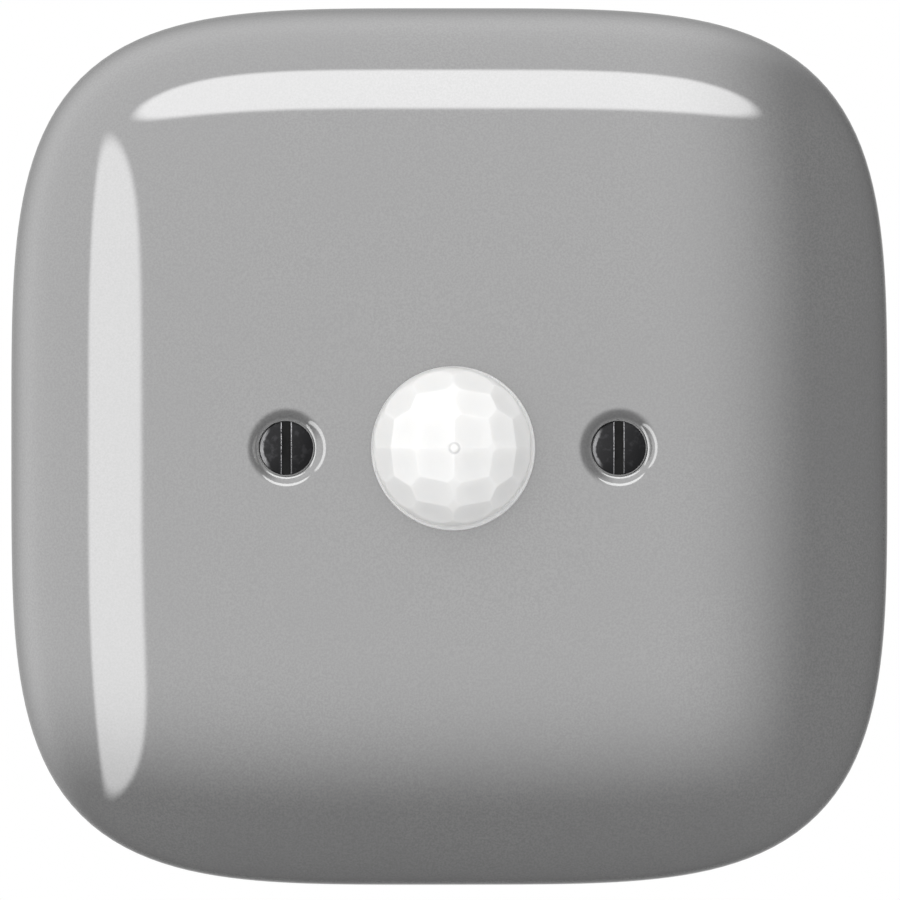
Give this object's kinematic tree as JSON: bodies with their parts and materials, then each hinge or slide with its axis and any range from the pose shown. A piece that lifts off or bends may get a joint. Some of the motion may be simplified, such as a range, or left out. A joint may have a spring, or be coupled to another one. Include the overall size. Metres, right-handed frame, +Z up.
{
  "type": "motion sensor light switch",
  "caption": "Flush wall switch with a glazed rounded-square ceramic cover, a facetted sensor lens between two slotted screws, and a relay mechanism behind.",
  "frame": {"origin": "on the wall plane behind the middle of the lens, midway between the box screws", "axes": "+X right and +Z up as seen from the front, +Y into the wall, so the lens looks along -Y"},
  "size_m": [0.088, 0.0457, 0.088],
  "materials": {
    "glaze": "gloss",
    "lens": "satin",
    "natural_plastic": "satin",
    "black_steel": "satin",
    "zinc_steel": "satin",
    "white_housing": "satin",
    "dark_housing": "matte",
    "brass": "satin",
    "tin": "satin",
    "window": "gloss",
    "clear": "gloss",
    "board": "satin",
    "black_plastic": "satin",
    "lamp": "gloss",
    "blue_plastic": "satin",
    "rotor": "satin",
    "relay_plastic": "gloss",
    "copper": "satin",
    "soft_iron": "satin",
    "yellow_plastic": "satin",
    "resistor": "satin",
    "ferrite": "matte"
  },
  "bodies": {
    "mechanism": {"mounting_bracket": "zinc_steel", "claw_pins": "zinc_steel", "front_housing": "white_housing", "rear_housing": "dark_housing", "cover_screw_inserts": "brass", "live_terminal_barrel": "brass", "neutral_terminal_barrel": "brass", "load_terminal_barrel": "brass", "sensor_can": "tin", "sensor_leads": "tin", "board_pins": "tin", "sensor_window": "window", "ambient_light_sensor_guide": "clear", "indicator_lamp_guide": "clear", "sensor_board": "board", "power_board": "board", "controller_chip": "black_plastic", "board_header": "black_plastic", "bridge_rectifier": "black_plastic", "ambient_light_sensor": "black_plastic", "relay_base": "black_plastic", "electrolytic_capacitor": "black_plastic", "indicator_lamp": "lamp", "time_adjuster_base": "blue_plastic", "light_adjuster_base": "blue_plastic", "range_adjuster_base": "blue_plastic", "varistor": "blue_plastic", "relay_cover": "relay_plastic", "relay_bobbin": "relay_plastic", "relay_winding": "copper", "choke_winding": "copper", "relay_core": "soft_iron", "relay_yoke": "soft_iron", "relay_fixed_contact": "soft_iron", "film_capacitor": "yellow_plastic", "fuse_resistor": "resistor", "choke_core": "ferrite"},
    "cover": {"cover_plate": "glaze", "fresnel_lens": "lens", "lens_retaining_ring": "natural_plastic"},
    "left_cover_screw": {"cover_screw_left": "black_steel"},
    "right_cover_screw": {"cover_screw_right": "black_steel"},
    "time_adjuster": {"time_adjuster_rotor": "rotor"},
    "light_adjuster": {"light_adjuster_rotor": "rotor"},
    "range_adjuster": {"range_adjuster_rotor": "rotor"},
    "armature": {"relay_armature": "soft_iron", "relay_contact_spring": "soft_iron"},
    "left_claw": {"claw_left": "zinc_steel"},
    "right_claw": {"claw_right": "zinc_steel"},
    "left_claw_screw": {"claw_screw_left": "zinc_steel"},
    "right_claw_screw": {"claw_screw_right": "zinc_steel"},
    "live_foot": {"live_terminal_foot": "zinc_steel"},
    "live_grub": {"live_terminal_screw": "zinc_steel"},
    "neutral_foot": {"neutral_terminal_foot": "zinc_steel"},
    "neutral_grub": {"neutral_terminal_screw": "zinc_steel"},
    "load_foot": {"load_terminal_foot": "zinc_steel"},
    "load_grub": {"load_terminal_screw": "zinc_steel"}
  },
  "joints": [
    {"name": "cover_lift", "type": "slide", "parent": "mechanism", "child": "cover", "axis": [0, -1, 0], "range_m": [0, 0.03]},
    {"name": "left_cover_screw_turn", "type": "hinge", "parent": "cover", "child": "left_cover_screw", "pos_m": [-0.01665, -0.0085, 0], "axis": [0, -1, 0], "continuous": true},
    {"name": "right_cover_screw_turn", "type": "hinge", "parent": "cover", "child": "right_cover_screw", "pos_m": [0.01665, -0.0085, 0], "axis": [0, -1, 0], "continuous": true},
    {"name": "time_adjuster_turn", "type": "hinge", "parent": "mechanism", "child": "time_adjuster", "pos_m": [-0.01, -0.003, 0.013], "axis": [0, -1, 0], "range_deg": [-135, 135]},
    {"name": "light_adjuster_turn", "type": "hinge", "parent": "mechanism", "child": "light_adjuster", "pos_m": [0, -0.003, 0.013], "axis": [0, -1, 0], "range_deg": [-135, 135]},
    {"name": "range_adjuster_turn", "type": "hinge", "parent": "mechanism", "child": "range_adjuster", "pos_m": [0.01, -0.003, 0.013], "axis": [0, -1, 0], "range_deg": [-135, 135]},
    {"name": "armature_rock", "type": "hinge", "parent": "mechanism", "child": "armature", "pos_m": [0.011, 0.0214, 0.0102], "axis": [1, 0, 0], "range_deg": [0, 6], "stiffness_Nm_per_rad": 0.001, "springref_deg": -8.59},
    {"name": "left_claw_screw_turn", "type": "hinge", "parent": "mechanism", "child": "left_claw_screw", "pos_m": [-0.0266, 0, 0.009], "axis": [0, 1, 0], "range_deg": [0, 1390]},
    {"name": "left_claw_swing", "type": "hinge", "parent": "mechanism", "child": "left_claw", "pos_m": [-0.023, 0.0036, 0.009], "axis": [0, 0, 1], "range_deg": [0, 30]},
    {"name": "right_claw_screw_turn", "type": "hinge", "parent": "mechanism", "child": "right_claw_screw", "pos_m": [0.0266, 0, -0.009], "axis": [0, 1, 0], "range_deg": [0, 1390]},
    {"name": "right_claw_swing", "type": "hinge", "parent": "mechanism", "child": "right_claw", "pos_m": [0.023, 0.0036, -0.009], "axis": [0, 0, -1], "range_deg": [0, 30]},
    {"name": "live_foot_slide", "type": "slide", "parent": "mechanism", "child": "live_foot", "axis": [0, -1, 0], "range_m": [0, 0.0028]},
    {"name": "live_grub_turn", "type": "hinge", "parent": "live_foot", "child": "live_grub", "pos_m": [-0.0125, 0.022, -0.0129], "axis": [0, -1, 0], "range_deg": [0, 2016.01]},
    {"name": "neutral_foot_slide", "type": "slide", "parent": "mechanism", "child": "neutral_foot", "axis": [0, -1, 0], "range_m": [0, 0.0028]},
    {"name": "neutral_grub_turn", "type": "hinge", "parent": "neutral_foot", "child": "neutral_grub", "pos_m": [0, 0.022, -0.0129], "axis": [0, -1, 0], "range_deg": [0, 2016.01]},
    {"name": "load_foot_slide", "type": "slide", "parent": "mechanism", "child": "load_foot", "axis": [0, -1, 0], "range_m": [0, 0.0028]},
    {"name": "load_grub_turn", "type": "hinge", "parent": "load_foot", "child": "load_grub", "pos_m": [0.0125, 0.022, -0.0129], "axis": [0, -1, 0], "range_deg": [0, 2016.01]}
  ],
  "couplings": [
    {"joint": "left_claw_swing", "follows": "left_claw_screw_turn", "ratio": 0.021582},
    {"joint": "right_claw_swing", "follows": "right_claw_screw_turn", "ratio": 0.021582},
    {"joint": "live_grub_turn", "follows": "live_foot_slide", "rad_per_m": 12566},
    {"joint": "neutral_grub_turn", "follows": "neutral_foot_slide", "rad_per_m": 12566},
    {"joint": "load_grub_turn", "follows": "load_foot_slide", "rad_per_m": 12566}
  ]
}
